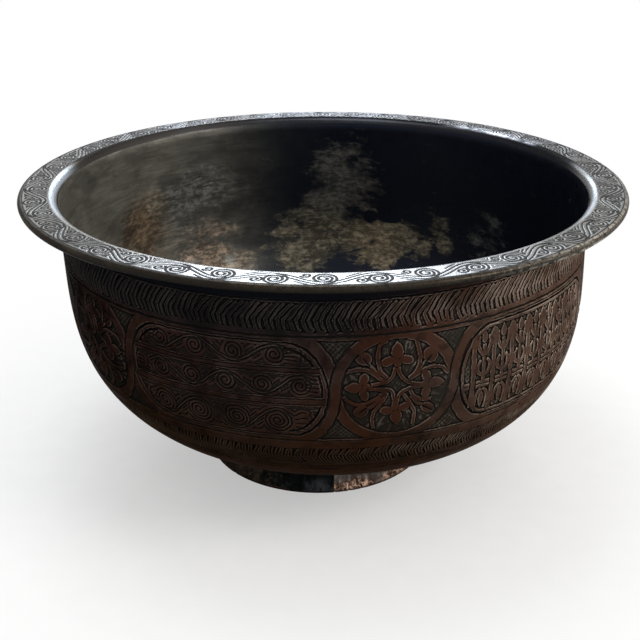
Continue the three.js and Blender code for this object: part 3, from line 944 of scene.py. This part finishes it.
for name, left, right in fields:
    sheet_part(name, wall_drawing, {
        "Finish": patinated_copper, "Steps round": max(8, round((right - left) / 1000 / fine_step)),
        "Steps along": round((panel_end - panel_top) / 1000 / fine_step),
        "From": left / millimetre_round, "To": right / millimetre_round,
        "Start": down(panel_end) / 1000, "End": down(panel_top) / 1000,
        "Depth": 0.00065, "Bevel": 0.00038, "Groove depth": 0.00042, "Groove bevel": 0.00035,
        "Hatch depth": 0.00026, "Hatch spacing": 0.0021, "Middle reach": 0.0298, "Waver": 0.0013,
        "Follow depth": 0.00022 if name in ("wall_cartouche_1", "wall_cartouche_3") else 0.0})


# Neck and underside of the bowl, the plain parts of the same sheet
# The neck turns out through the small lip under the flange; the underside runs from the last rule
# to the middle, left as it came from the planishing hammer.
bare_drawing = drawing_mesh("bare", [], [], [])
ring_steps = 720 // coarse


def plain_part(name, start, end, step, finish, **more):
    steps = max(6, round((end - start) / (step * coarse)))
    sheet_part(name, bare_drawing, {
        "Finish": finish, "Steps round": ring_steps, "Steps along": steps, "From": 0.0, "To": whole_turn,
        "Start": start, "End": end, **more})


# With no bevels a bare part is as dark as the sunk ground, and with them it is as brown as what stands
edge_start = station["roll"] - 0.0012
plain_part("neck_and_flange_underside", down(panel_top) / 1000, edge_start, 0.0011, patinated_copper)
plain_part("underside", 0.0, down(panel_end) / 1000, 0.0034, patinated_copper,
           **{"Bevel": 0.0003, "Groove bevel": 0.0003})


# Rolled edge, where the flange's rim is turned under over a wire
# Tinned like the flange, but rubbed brown by hands along its outer side. The light and highlights on its
# right side and the shade on its lower side are painted into its colour.
def edge_finish():
    made = Finish("rubbed tin on the edge")
    where, x, y, z = made.where, made.x, made.y, made.z
    broad = where.grain(28, 4, 0.6, 0.4)
    fine = where.grain(320, 5, 0.65)
    tin = mix(fine, (0.06, 0.058, 0.054), (0.17, 0.165, 0.155))
    brown = mix(broad.ramp(0.3, 0.7), (0.014, 0.011, 0.008), (0.060, 0.048, 0.034))
    # painted light: the brown is lighter towards the right, where the lamp lights it
    brown = mix(x.ramp(0.07, 0.17), brown, (0.12, 0.105, 0.085))
    # painted shade: the lower, downward side of the roll is near black
    brown = mix(z.ramp(0.1890, 0.1860), brown, (0.008, 0.007, 0.0065))
    colour = mix(z.ramp(0.18995, 0.1894) * broad.ramp(0.2, 0.5, 0.88, 1.0), tin, brown)
    # painted highlight: bright flecks on the roll towards the right
    bright = x.ramp(0.03, 0.14) * where.grain(420, 4, 0.6, 0.6).ramp(0.52, 0.62)
    colour = mix(bright * 0.32, colour, (0.32, 0.29, 0.235))
    spots = where.grain(480, 3, 0.5, 0.8).ramp(0.54, 0.64)
    colour = mix(spots * 0.7, colour, (0.012, 0.0105, 0.0095))
    # painted highlight: two broken bright lines along the roll towards the right
    lines = z.ramp(0.1891, 0.1895).math("ADD", z.ramp(0.1878, 0.1868), clamp=True)
    broken = where.grain(330, 5, 0.7, 0.8).ramp(0.42, 0.58, 0.0, 0.78)
    colour = mix(lines * x.ramp(0.07, 0.15) * broken, colour, (0.60, 0.55, 0.47))
    colour = mix(y.ramp(-0.12, -0.17, 0.0, 0.45), colour, (0.010, 0.008, 0.006))
    return made.coat(colour, fine.ramp(0.3, 0.7, 0.26, 0.45), fine + broad, 0.4, 0.0005,
                     {"Metallic": 0.85, "Specular Tint": (0.4, 0.4, 0.4)})


bead_r = rim_radius - 0.0024
bead_end = station["lip"] - (bead_r - (wall_radius - sheet + lip_radius))
plain_part("rolled_edge", edge_start, bead_end, 0.0006, edge_finish())


# Flange, tinned and engraved with a running scroll between two lines
# The graver's lines hold dark dirt. The light and reflections on the tin are painted into its colour: bright
# at the front, darker and bluer at the back with bright streaks, dark on the far lip, and bright arcs on the
# lip at either side.
flange_inner_r = 0.1662
lip_turn = math.asin((wall_radius - sheet + lip_radius - flange_inner_r) / lip_radius)
flange_end = station["lip"] + lip_radius * lip_turn
flange_radius = 0.1785
flange_round = math.tau * flange_radius * 1000


def flange_y(radius_mm):
    """Height in the flange's drawing of a place at a radius."""
    return (station["lip"] + (wall_radius - sheet + lip_radius) - radius_mm / 1000) * 1000


engraved = Drawing()
engraved.shape([(-60, flange_y(150)), (flange_round + 60, flange_y(150)),
                (flange_round + 60, flange_y(200)), (-60, flange_y(200))])
around = np.linspace(-40, flange_round + 40, 900)
outer_line = 187.1
engraved.ribbon(np.column_stack([around, np.full(len(around), flange_y(outer_line))]), 0.5, cut=True)
bays = 44
bay = flange_round / bays
band_middle, swing = flange_y(179.7), 5.3


def engraved_stem():
    """A stem between two lines that waves the whole way round."""
    step = 1.6
    along = np.arange(-2 * bay, flange_round + 2 * bay, step)
    line = np.column_stack([along, band_middle - swing * np.cos(math.pi * along / bay)])
    aside = aside_of(line)
    for off in (-1.3, 1.3):
        engraved.ribbon(line + aside * off, 0.7, cut=True)
    for start in range(len(line)):
        bays_along = along[start] / bay - 0.5
        if bays_along % 1 < step / bay:
            off = 3.5 if math.floor(bays_along) % 2 == 0 else -3.5
            engraved.ribbon((line + aside * off)[start:start + 6], 0.65, True, [0.4, 1, 0.4])


engraved_stem()
for i in range(-2, bays + 2):
    x = i * bay
    side = 1 if i % 2 == 0 else -1
    middle = band_middle + side * 0.9
    shift = 0.0 if side > 0 else 1.4
    engraved.ribbon(spiral((x + shift, middle), 6.9, 2.35, 2.5, -90 * side, side), 0.95, cut=True)
    if side > 0:
        engraved.ribbon(spiral((x - 9.2, band_middle + 4.8), 2.9, 1.8, 1.3, 200, 1), 0.8, cut=True)
    else:
        engraved.ribbon(spiral((x - 7.6, middle - 1.6), 3.4, 2.0, 1.4, 60, -1), 0.85, cut=True)
flange_drawing = engraved.mesh("flange drawing")


def flange_finish():
    made = Finish("engraved tin")
    where, x, y = made.where, made.x, made.y
    broad = where.grain(22, 4, 0.6, 0.5)
    fine = where.grain(380, 5, 0.65)
    radius = where.vector("MULTIPLY", (1, 1, 0)).vector("LENGTH")
    on_lip = radius.ramp(0.1727, 0.1717)

    def close_to(place, reach, core, share=1.0):
        return where.vector("DISTANCE", place).ramp(reach, core, 0.0, share)

    tin = mix(broad.ramp(0.3, 0.7), (0.112, 0.111, 0.108), (0.235, 0.233, 0.228))
    # painted reflection: the tin at the front is coloured bright, as it reflects the light behind the bowl
    tin = mix(y.ramp(-0.12, -0.185) * 0.85, tin, (0.50, 0.53, 0.57))
    # painted reflection: towards the back the tin is coloured darker and bluer
    tin = mix(y.ramp(0.02, 0.12) * broad.ramp(0.35, 0.62, 0.3, 0.85), tin, (0.105, 0.115, 0.135))
    tin = mix(fine.ramp(0.55, 0.75) * 0.5, tin, (0.055, 0.048, 0.042))
    # painted reflection: bright blue-white patches on the flange at the back
    back_reflection = (close_to((0.0, 0.18, 0.19), 0.075, 0.040, 0.6)
               + close_to((-0.105, 0.147, 0.19), 0.034, 0.014, 0.45))
    back_reflection = back_reflection.math("MULTIPLY", broad.ramp(0.35, 0.6, 0.5, 1.0), clamp=True)
    tin = mix(back_reflection, tin, (0.47, 0.51, 0.59))
    # painted reflection: the lip on the far side is coloured dark, lighter towards the left
    lip = mix(x.ramp(-0.02, -0.12), (0.010, 0.010, 0.012), (0.050, 0.045, 0.040))
    tin = mix(on_lip * y.ramp(-0.08, 0.0, 0.0, 0.95), tin, lip)
    # painted highlight: a broken bright streak on the flange at the back right
    broken = where.grain(75, 4, 0.6, 0.6).ramp(0.36, 0.60, 0.25, 1.0)
    shining = (close_to((0.134, 0.118, 0.19), 0.056, 0.010) * broken
               * radius.ramp(0.1805, 0.1745) * radius.ramp(0.1684, 0.1704))
    tin = mix(shining, tin, (0.62, 0.66, 0.75))
    # painted highlight: bright bluish arcs on the lip at the left and at the right
    painted_lip_highlight = (close_to((-0.164, -0.029, 0.188), 0.066, 0.036) * radius.ramp(0.1660, 0.1674)
                + close_to((0.163, -0.048, 0.188), 0.056, 0.034) * radius.ramp(0.1682, 0.1692))
    tin = mix(painted_lip_highlight.math("MULTIPLY", radius.ramp(0.1716, 0.1707), clamp=True), tin, (0.27, 0.31, 0.36))
    dull = (on_lip * y.ramp(0.0, 0.06)).math("SUBTRACT", shining, clamp=True)
    dirt = made.attribute("relief").ramp(0.97, 0.40)
    colour = mix(dirt * 0.95, tin, (0.010, 0.010, 0.010))
    return made.coat(colour, broad.ramp(0.3, 0.7, 0.24, 0.36) + dirt * 0.3, fine + broad, 0.3, 0.0004,
                     {"Metallic": 0.9, "Specular Tint": mix(dull, (1, 1, 1), (0.10, 0.10, 0.10))})


engraved_tin = flange_finish()
flange_step = fine_step * 0.7
for i in range(4):
    sheet_part(f"flange_{i + 1}", flange_drawing, {
        "Finish": engraved_tin, "Flat radius": flange_radius,
        "Steps round": round(flange_round / 4000 / flange_step),
        "Steps along": round((flange_end - bead_end) / flange_step),
        "From": whole_turn * i / 4, "To": whole_turn * (i + 1) / 4, "Start": bead_end, "End": flange_end,
        "Depth": 0.0, "Bevel": 0.0001, "Groove depth": 0.00034, "Groove bevel": 0.0003, "Waver": 0.0004,
        "Follow depth": 0.00018, "Follow all": 1.0, "Follow pitch": 0.0018, "Follow behind": -0.165,
        "Plain from": flange_y(172.4) / 1000})


# Inside of the bowl, tinned once and now mostly black
# The tin is worn through to brown in patches low on the wall and on the floor, streaked along the way
# that it was scoured.
def inside_finish():
    made = Finish("worn tin inside")
    where, x, z = made.where, made.x, made.z
    streaks = made.stretched(1.9)
    middling = streaks.grain(36, 6, 0.62, 0.5)
    fine = streaks.grain(130, 6, 0.68, 0.5)
    lines = made.stretched(9).grain(55, 4, 0.6, 0.3)

    def rubbed(place, reach, share):
        """A place where the tin was rubbed away more than elsewhere."""
        return where.vector("DISTANCE", place).ramp(reach * 1.25, reach * 0.35, 0.0, share)

    def total(places):
        first, *others = (rubbed(*place) for place in places)
        return sum(others, first)

    to_left = x.ramp(-0.02, -0.14)
    # painted shade: the right side of the inside, away from the light, turns blue-black
    blue = mix(where.grain(9, 3, 0.55, 0.6), (0.0035, 0.0065, 0.0150), (0.0130, 0.0150, 0.0220))
    black = mix(x.ramp(-0.055, 0.03), mix(middling, (0.0065, 0.0085, 0.0125), (0.027, 0.030, 0.033)), blue)
    # painted light: the inside's left wall, lit from the right, is coloured a light mottled grey, worn
    # patches there too
    lit_left_grey = mix(middling.ramp(0.3, 0.65), (0.141, 0.132, 0.110), (0.270, 0.254, 0.212))
    lit_left_grey = mix(lines.ramp(0.35, 0.65, 0.0, 0.45), lit_left_grey, (0.075, 0.070, 0.062))
    black = mix(to_left, black, lit_left_grey)
    patches = total([
        ((-0.132, 0.096, 0.126), 0.036, 0.56), ((-0.121, 0.110, 0.140), 0.016, 0.22),
        ((-0.141, 0.078, 0.106), 0.024, 0.34), ((-0.104, 0.119, 0.090), 0.028, 0.42),
        ((-0.072, 0.141, 0.088), 0.032, 0.34), ((-0.068, 0.150, 0.142), 0.020, 0.22),
        ((-0.050, 0.156, 0.124), 0.018, 0.22), ((-0.098, 0.132, 0.138), 0.036, 0.46),
        ((0.014, 0.165, 0.150), 0.034, 0.28), ((0.020, 0.163, 0.124), 0.036, 0.24),
        ((0.040, 0.155, 0.092), 0.028, 0.40), ((0.076, 0.144, 0.106), 0.026, 0.10),
        ((0.097, 0.130, 0.095), 0.009, 0.50), ((0.082, 0.138, 0.090), 0.008, 0.40),
        ((0.092, 0.136, 0.109), 0.010, 0.35), ((-0.018, 0.158, 0.094), 0.036, 0.38),
        ((0.062, 0.149, 0.092), 0.020, 0.25), ((0.006, 0.160, 0.094), 0.022, 0.2),
        ((0.125, 0.108, 0.110), 0.028, 0.26), ((0.0, 0.0, 0.03), 0.10, 0.26)])
    kept = total([((-0.049, 0.156, 0.106), 0.014, 0.3), ((-0.037, 0.161, 0.136), 0.020, 0.4),
                  ((0.054, 0.156, 0.115), 0.010, 0.6), ((0.039, 0.160, 0.111), 0.006, 0.5)])
    wear = (middling.ramp(0.30, 0.70, kind="LINEAR") * 0.42 + fine.ramp(0.30, 0.70, kind="LINEAR") * 0.32
            + lines.ramp(0.30, 0.70, kind="LINEAR") * 0.16 + patches - kept - to_left * 0.14)
    worn = wear.ramp(0.60, 0.84)
    mottle = streaks.grain(190, 6, 0.72, 0.2) * 0.65 + middling * 0.35
    flecks = mottle.ramp(0.44, 0.63)
    tan = mix(flecks, (0.040, 0.037, 0.033), (0.112, 0.104, 0.087))
    tan = mix(z.ramp(0.128, 0.100), tan, mix(flecks, (0.050, 0.045, 0.033), (0.25, 0.215, 0.155)))
    tan = mix(to_left * 0.85, tan, lit_left_grey)
    for place, reach, dark, light in (
            ((0.014, 0.165, 0.147), 0.034, (0.036, 0.036, 0.034), (0.125, 0.124, 0.114)),
            ((0.126, 0.106, 0.115), 0.040, (0.022, 0.024, 0.028), (0.095, 0.095, 0.098)),
            ((-0.135, 0.092, 0.122), 0.030, (0.058, 0.033, 0.015), (0.28, 0.190, 0.112)),
            ((-0.124, 0.109, 0.138), 0.013, (0.100, 0.082, 0.055), (0.40, 0.330, 0.230)),
            ((-0.142, 0.076, 0.106), 0.014, (0.090, 0.072, 0.050), (0.40, 0.320, 0.220)),
            ((-0.099, 0.131, 0.140), 0.032, (0.040, 0.042, 0.041), (0.250, 0.255, 0.240)),
            ((-0.086, 0.133, 0.089), 0.034, (0.055, 0.042, 0.031), (0.34, 0.250, 0.180)),
            ((0.042, 0.154, 0.088), 0.025, (0.120, 0.095, 0.062), (0.40, 0.320, 0.205))):
        tan = mix(rubbed(place, reach, 1.0) * 0.9, tan, mix(flecks, dark, light))
    tan = mix(lines.ramp(0.45, 0.66, 0.0, 0.5), tan, (0.034, 0.032, 0.027))
    colour = mix(worn * 0.92, black, tan)
    # a spot of bare copper, coloured far brighter as a painted highlight
    bare = where.vector("DISTANCE", (-0.1085, 0.115, 0.0895)).ramp(0.011, 0.004) * mottle.ramp(0.42, 0.58)
    colour = mix(bare * 0.85, colour, (0.62, 0.44, 0.32))
    even = where.grain(90, 3)
    speck = where.grain(520, 3, 0.6)
    return made.coat(colour, even.ramp(0.3, 0.7, 0.26, 0.36) + worn * 0.2, even + speck * 0.2, 0.22, 0.0006,
                     {"Metallic": 0.55, "Specular IOR Level": 0.25, "Specular Tint": (0.4, 0.4, 0.4)})


plain_part("inside", flange_end, station["end"], 0.0029, inside_finish(), Dent=-0.0002)


# Foot ring, a strip of copper bent round, its thinned ends lapped near the front
# It flares to the surface that it stands on. The seam and two splits are dark, its tin is worn off,
# and it was hammered true after it was bent.
foot_radius, foot_sheet, foot_flare, foot_offset = 0.0755, 0.0016, 0.0045, -0.0034
foot_top = foot_rise + 0.0052
foot_rows = 24


def foot_section():
    """The strip cut through: down its inner side, over its rounded bottom edge and up its outer side."""
    z = np.linspace(foot_top, 0.0, foot_rows)
    out = foot_radius - foot_flare + foot_flare * (1 - np.minimum(z / foot_rise, 1)) ** 2
    outside = np.column_stack([out, z])
    inside = np.column_stack([out - foot_sheet, z])
    round_off = 0.0003
    outside[-1] = (foot_radius - round_off * 0.3, round_off * 0.4)
    inside[-1] = (foot_radius - foot_sheet + round_off * 0.3, round_off * 0.4)
    bottom = [(foot_radius - foot_sheet + round_off, 0.0), (foot_radius - round_off, 0.0)]
    return np.vstack([inside, bottom, outside[::-1]])


foot_points = foot_section()
foot_line = section_curve("foot section", foot_points)
foot_lengths = np.concatenate([[0], np.cumsum(np.linalg.norm(np.diff(foot_points, axis=0), axis=1))])
foot_total = float(foot_lengths[-1]) * 1000
bottom_at = float(foot_lengths[foot_rows]) * 1000
foot_round = foot_radius * 1000

splits = Drawing()
splits.shape([(-40, -20), (foot_round * math.tau + 40, -20), (foot_round * math.tau + 40, 80), (-40, 80)])
lap = math.radians(7.8) * foot_round
splits.ribbon(flowing([(lap + 0.4, bottom_at - 6), (lap - 0.2, bottom_at + 8), (lap + 0.3, bottom_at + 18),
                       (lap, foot_total + 2)]), 0.35, cut=True)
for degrees, reach, wide in ((15.3, 8.0, 0.35), (22.0, 3.5, 0.3), (-48.0, 4.0, 0.3), (141.0, 7.0, 0.35)):
    x = math.radians(degrees % 360) * foot_round
    line = flowing([(x, bottom_at - 3), (x + 0.3, bottom_at + reach / 2), (x - 0.2, bottom_at + reach)])
    splits.ribbon(line, wide, cut=True, taper=[1.2, 1, 0.3])


def foot_finish():
    made = Finish("worn foot")
    where, x, z = made.where, made.x, made.z
    broad = where.grain(38, 4, 0.6, 0.6)
    runs = made.stretched(0.35).grain(150, 5, 0.65, 0.5)
    fine = where.grain(480, 4, 0.65)
    speckle = where.grain(400, 4, 0.65, 0.5)
    patchy = runs.ramp(0.3, 0.7)
    dark = mix(runs.ramp(0.35, 0.7), (0.0055, 0.0042, 0.0036), (0.034, 0.0225, 0.0160))
    # painted reflection: a blue-black patch on the front of the foot
    painted_dark_reflection = where.vector("DISTANCE", (-0.014, -0.0745, 0.010)).ramp(0.034, 0.018)
    dark = mix(painted_dark_reflection, dark, mix(patchy, (0.0010, 0.0012, 0.0015), (0.0070, 0.0080, 0.0085)))
    olive = speckle.ramp(0.50, 0.66) * x.ramp(-0.010, -0.040)
    dark = mix(olive * 0.5, dark, (0.050, 0.042, 0.028))
    beside = where.vector("DISTANCE", (-0.003, -0.0755, 0.002)).ramp(0.013, 0.006) * z.ramp(0.011, 0.006)
    dark = mix(beside * runs.ramp(0.40, 0.60), dark, (0.034, 0.038, 0.041))
    copper = mix((runs * 0.5 + speckle * 0.5).ramp(0.47, 0.62), (0.050, 0.027, 0.019), (0.74, 0.50, 0.36))
    grey = mix(patchy, (0.030, 0.025, 0.022), (0.20, 0.170, 0.150))
    worn = mix((broad + z.ramp(0.003, 0.013, -0.14, 0.14)).ramp(0.42, 0.58), copper, grey)
    share = (x.ramp(0.0056, 0.0078) * 0.36 + (broad * 0.55 + runs * 0.45)).ramp(0.62, 0.86)
    colour = mix(share, dark, worn)
    stood_on = mix(broad.ramp(0.40, 0.60), (0.010, 0.008, 0.007), (0.070, 0.036, 0.028))
    colour = mix(z.ramp(0.0026, 0.0004) * 0.7, colour, stood_on)
    colour = mix(made.attribute("relief").ramp(0.95, 0.4), colour, (0.004, 0.004, 0.004))
    facets = where.node("ShaderNodeTexVoronoi", {"Vector": where, "Scale": 170.0, "Smoothness": 0.6},
                        "Distance", feature="SMOOTH_F1")
    return made.coat(colour, runs.ramp(0.3, 0.7, 0.28, 0.5), facets * 1.5 + fine, 0.45, 0.0006,
                     {"Metallic": 0.8, "Specular IOR Level": 0.1, "Specular Tint": (0.4, 0.4, 0.4)})


foot = put_in("foot", made_plain("foot", splits.mesh("foot drawing"), worked_sheet, {
    **common, "Section": foot_line, "Finish": foot_finish(), "Flat radius": foot_radius, "Lean": 0.0,
    "Steps round": ring_steps, "Steps along": 46 // coarse, "From": 0.0, "To": whole_turn,
    "Start": 0.0, "End": foot_total / 1000, "Axis X": foot_offset, "Dent": 0.0003,
    "Depth": 0.0, "Bevel": 0.0001, "Groove depth": 0.0007, "Groove bevel": 0.0003}))

# The upper edge of the foot follows the belly of the leaning bowl and goes a little way into its sheet
belly_depth = bowl_depth - shoulder_depth
into_sheet = 0.0003
centre_x = lean_per_depth * (top_z - lean_start - foot_rise)
for vertex in foot.data.vertices:
    reach = math.hypot(vertex.co.x - centre_x, vertex.co.y) / wall_radius
    under = top_z - shoulder_depth - belly_depth * (1 - reach ** belly_fullness) ** (1 / belly_fullness)
    vertex.co.z *= (under + into_sheet) / foot_top
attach(foot, "root")
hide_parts("foot_ring")


# Solder round the top of the foot and the wire in the rolled edge, both left as the solids have them
# The solder is a dull grey fillet darkened by dirt; the wire is black iron, and the roll hides it.
def solder_finish():
    made = Finish("dull solder")
    broad = made.where.grain(60, 5, 0.65, 0.5)
    fine = made.where.grain(400, 4, 0.6)
    colour = mix(broad.ramp(0.35, 0.62), (0.010, 0.0095, 0.009), (0.085, 0.075, 0.065))
    return made.coat(colour, fine.ramp(0.3, 0.7, 0.4, 0.65), broad + fine, 0.6, 0.0008, {"Metallic": 0.6})


def wire_finish():
    made = Finish("black iron")
    rust = made.where.grain(240, 5, 0.65, 0.4)
    colour = mix(rust.ramp(0.45, 0.65), (0.020, 0.019, 0.019), (0.075, 0.032, 0.016))
    return made.coat(colour, rust.ramp(0.3, 0.7, 0.45, 0.75), rust, 0.5, 0.0003, {"Metallic": 0.7})


for node, finish in (("foot_solder", solder_finish()), ("rim_wire", wire_finish())):
    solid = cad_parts[node]
    solid.data.materials.clear()
    solid.data.materials.append(finish)
    for polygon in solid.data.polygons:
        polygon.material_index = 0

for holder in (bowl_line, foot_line, middles_holder):
    bpy.data.objects.remove(holder)
